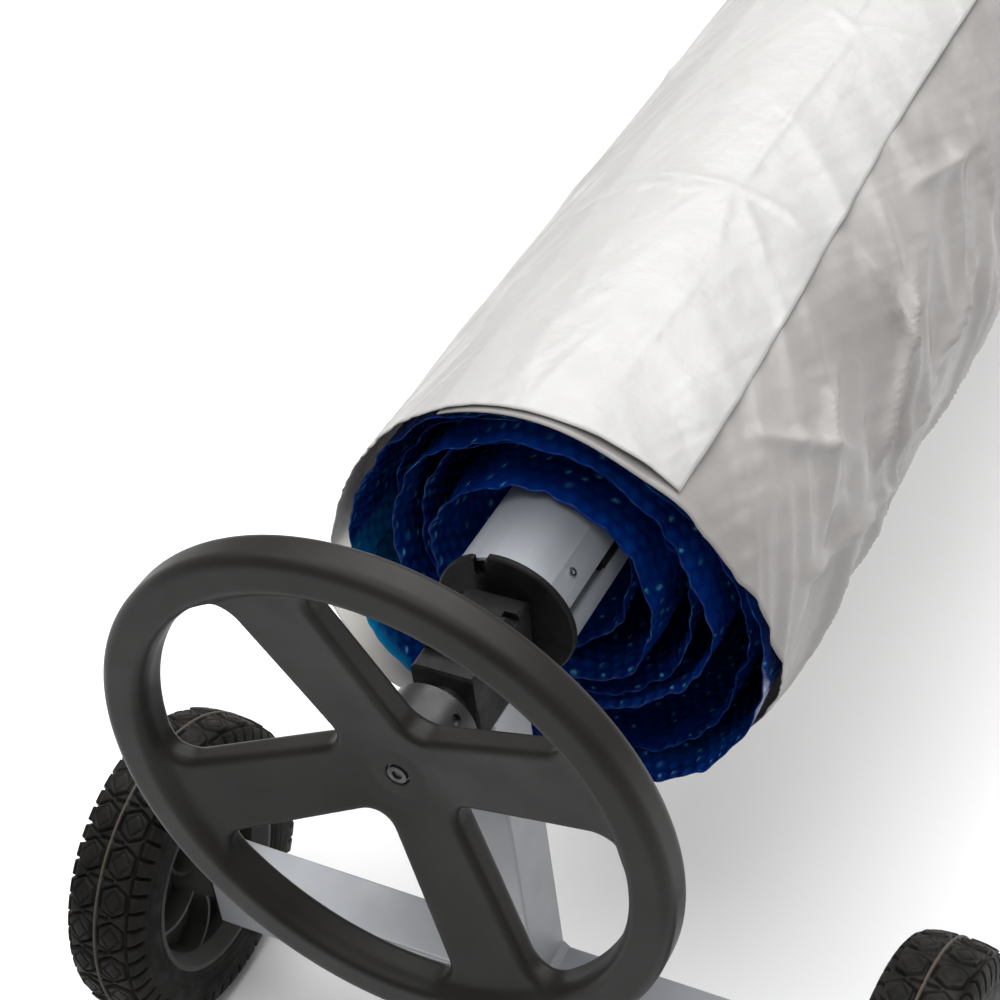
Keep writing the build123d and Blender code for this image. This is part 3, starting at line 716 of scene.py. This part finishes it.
def white_cover():
    """One sheet wound once round the roll, with its free edge lapped over the top as a flap."""
    flap_edge = math.radians(49)
    first = math.radians(112)
    total = first - flap_edge + 2 * math.pi
    columns = 400
    part = np.linspace(0, 1, columns)
    deep = stations(0, FILM_END - FILM_START, 1.0, 0.0042, 120)
    u, b = np.meshgrid(part, deep, indexing="ij")
    angle = first - total * u
    lean = math.radians(5.0) * smoothstep(0.05, 0.6, b) * smoothstep(0.75, 1.0, u)
    angle = angle + lean
    a = (first - angle) * MEAN_RADIUS
    around = first - angle
    wrapped = around % (2 * math.pi)
    flap = turned(345, 375, around)
    radius = ring(angle, ROLL_OUTLINE) + 0.0026 + 0.0020 * flap
    hidden = 1 - turned(46, 68, around)
    shade_side = np.exp(-((wrapped - math.radians(105)) / 0.75) ** 2)
    left_side = np.exp(-((around - math.radians(335)) / 0.5) ** 2)
    below = turned(140, 190, wrapped)
    below = below * turned(340, 300, wrapped)
    swell = 0.0010 * np.maximum(1 + Waves(0.28, 0.55).at(a, b), 0) * (0.4 + 0.6 * below)
    folds = np.maximum(1.5 - np.abs(Waves(0.17, 0.34).at(a + 0.5 * b, b)), 0)
    folds = folds * (0.0002 + 0.0062 * shade_side + 0.0012 * below)
    sharper = np.maximum(1.3 - np.abs(Waves(0.10, 0.20).at(a + 0.6 * b, b)), 0)
    folds = folds + sharper * 0.0060 * shade_side
    wrinkles = np.maximum(1.3 - np.abs(Waves(0.045, 0.22).at(a - 0.35 * b, b)), 0)
    wrinkles = wrinkles * (0.0002 + 0.0006 * shade_side + 0.0010 * left_side)
    left_end = turned(250, 268, around) * np.exp(-b / 0.12)
    left_end = left_end * turned(296, 280, around)
    radius = radius + (swell + folds + wrinkles) * (1 - hidden) * (1 - 0.85 * left_end)
    radius = radius - 0.0012 * left_end
    crease_groups = ((TOP_CREASES, 472, 1.6, 1.0), (SIDE_CREASES, 112, 2.6, 0.55))
    for creases, zero, strength, spread in crease_groups:
        for (angle_1, deep_1), (angle_2, deep_2), width, height in creases:
            begin = (math.radians(zero - angle_1) * MEAN_RADIUS, deep_1)
            finish_at = (math.radians(zero - angle_2) * MEAN_RADIUS, deep_2)
            radius = radius + crease(a, b, begin, finish_at, spread * width, strength * height)
    sag = np.exp(-((wrapped - math.radians(269)) / math.radians(17)) ** 2)
    radius = radius + 0.046 * sag * np.exp(-b / 0.5)
    lifted = smoothstep(0.955, 1.0, u)
    flutter = 0.0012 * Waves(0.5, 0.20).at(0 * a, b)
    radius = radius + lifted * (0.0018 + 0.0035 * np.exp(-b / 0.06) + flutter)
    x = ROLL_X + radius * np.cos(angle)
    z = AXIS_Z + ROLL_Z + radius * np.sin(angle)
    y = FILM_START + b
    pulled = turned(105, 150, wrapped)
    pulled = pulled * turned(238, 208, wrapped)
    edge_wave = 0.0014 * Waves(0.20, 9).at(a, 0 * b)
    edge_wave = edge_wave + 0.006 * flap + 0.050 * pulled + 0.022 * left_end
    y = np.clip(y + edge_wave * np.exp(-b / 0.2), FILM_START - 0.002, FILM_END)
    points = np.stack([x, y, z], axis=-1).reshape(-1, 3)
    piece = mesh_object("wrapped_white_sheet", points, grid_faces(columns, len(deep)), "reel")
    doubled = smoothstep(2 * math.pi - 0.012, 2 * math.pi + 0.012, around)
    # Painted light: the single layer over the roll's left side gets most of the lighter double-layer
    # colour, as the side the light falls on.
    painted_light_left = turned(235, 280, around) * (1 - doubled)
    mark(piece, "double_layer_and_painted_light", doubled + 0.72 * painted_light_left + 0 * b)
    mark(piece, "hanging_free", sag * np.exp(-b / 0.3))
    piece.data.materials.append(white_sheet)
    thick = piece.modifiers.new("thickness", "SOLIDIFY")
    thick.thickness = 0.0008
    thick.offset = 0
    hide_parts("white_cover")
    return piece


white_cover()


# ------------------------------------------------------------------ floor, light and camera
def floor_material():
    made = material("pale_studio_floor", (0.92, 0.92, 0.92), 0.8, specular=0.1)
    mottle(made, (0.91, 0.91, 0.91), (0.93, 0.93, 0.93), 3)
    return made


floor_size = 14.0
floor_steps = 8
line = np.linspace(-floor_size, floor_size, floor_steps)
floor_mesh = bpy.data.meshes.new("studio_floor")
floor_points = [(px, py, 0.0) for px in line for py in line]
floor_mesh.from_pydata(floor_points, [], grid_faces(floor_steps, floor_steps))
floor = bpy.data.objects.new("studio_floor", floor_mesh)
bpy.context.scene.collection.objects.link(floor)
floor_mesh.materials.append(floor_material())


def area_light(name, place, aim, size, power, color=(1, 1, 1)):
    data = bpy.data.lights.new(name, "AREA")
    data.shape = "RECTANGLE"
    data.size, data.size_y = size
    data.energy = power
    data.color = color
    lamp = bpy.data.objects.new(name, data)
    bpy.context.scene.collection.objects.link(lamp)
    lamp.location = place
    lamp.rotation_euler = (Vector(aim) - Vector(place)).to_track_quat("-Z", "Y").to_euler()
    return lamp


world = bpy.data.worlds.new("studio")
bpy.context.scene.world = world
world.use_nodes = True
world.node_tree.nodes["Background"].inputs["Color"].default_value = (1, 1, 1, 1)
world.node_tree.nodes["Background"].inputs["Strength"].default_value = 0.36
near_end = (0, START, AXIS_Z)
area_light("overhead", (-0.5, START + 1.8, 5.6), (-0.1, START + 1.4, 0), (9.0, 9.0), 625)
area_light("back_strip", (0.3, START + 2.45, 3.07), near_end, (4.0, 0.8), 60)

camera_data = bpy.data.cameras.new("camera")
camera = bpy.data.objects.new("camera", camera_data)
bpy.context.scene.collection.objects.link(camera)
bpy.context.scene.camera = camera
camera_data.sensor_width = 36.0
camera_data.lens = 88.63
camera_data.shift_x = 0.0854
camera_data.shift_y = -0.1297
camera_data.clip_start = 0.05
camera_data.clip_end = 60
forward = Vector((-0.44713252, 0.66373962, -0.59960172))
right = Vector((0.87329527, 0.46892856, -0.13214147))
up = Vector((-0.19346284, 0.58271409, 0.78931389))
turn_matrix = Matrix((right, up, -forward)).transposed()
camera.rotation_mode = "QUATERNION"
camera.rotation_quaternion = turn_matrix.to_quaternion()
camera.location = (0.689066, START - 0.899073, AXIS_Z + 1.190530)

bpy.context.scene.view_settings.view_transform = "Standard"
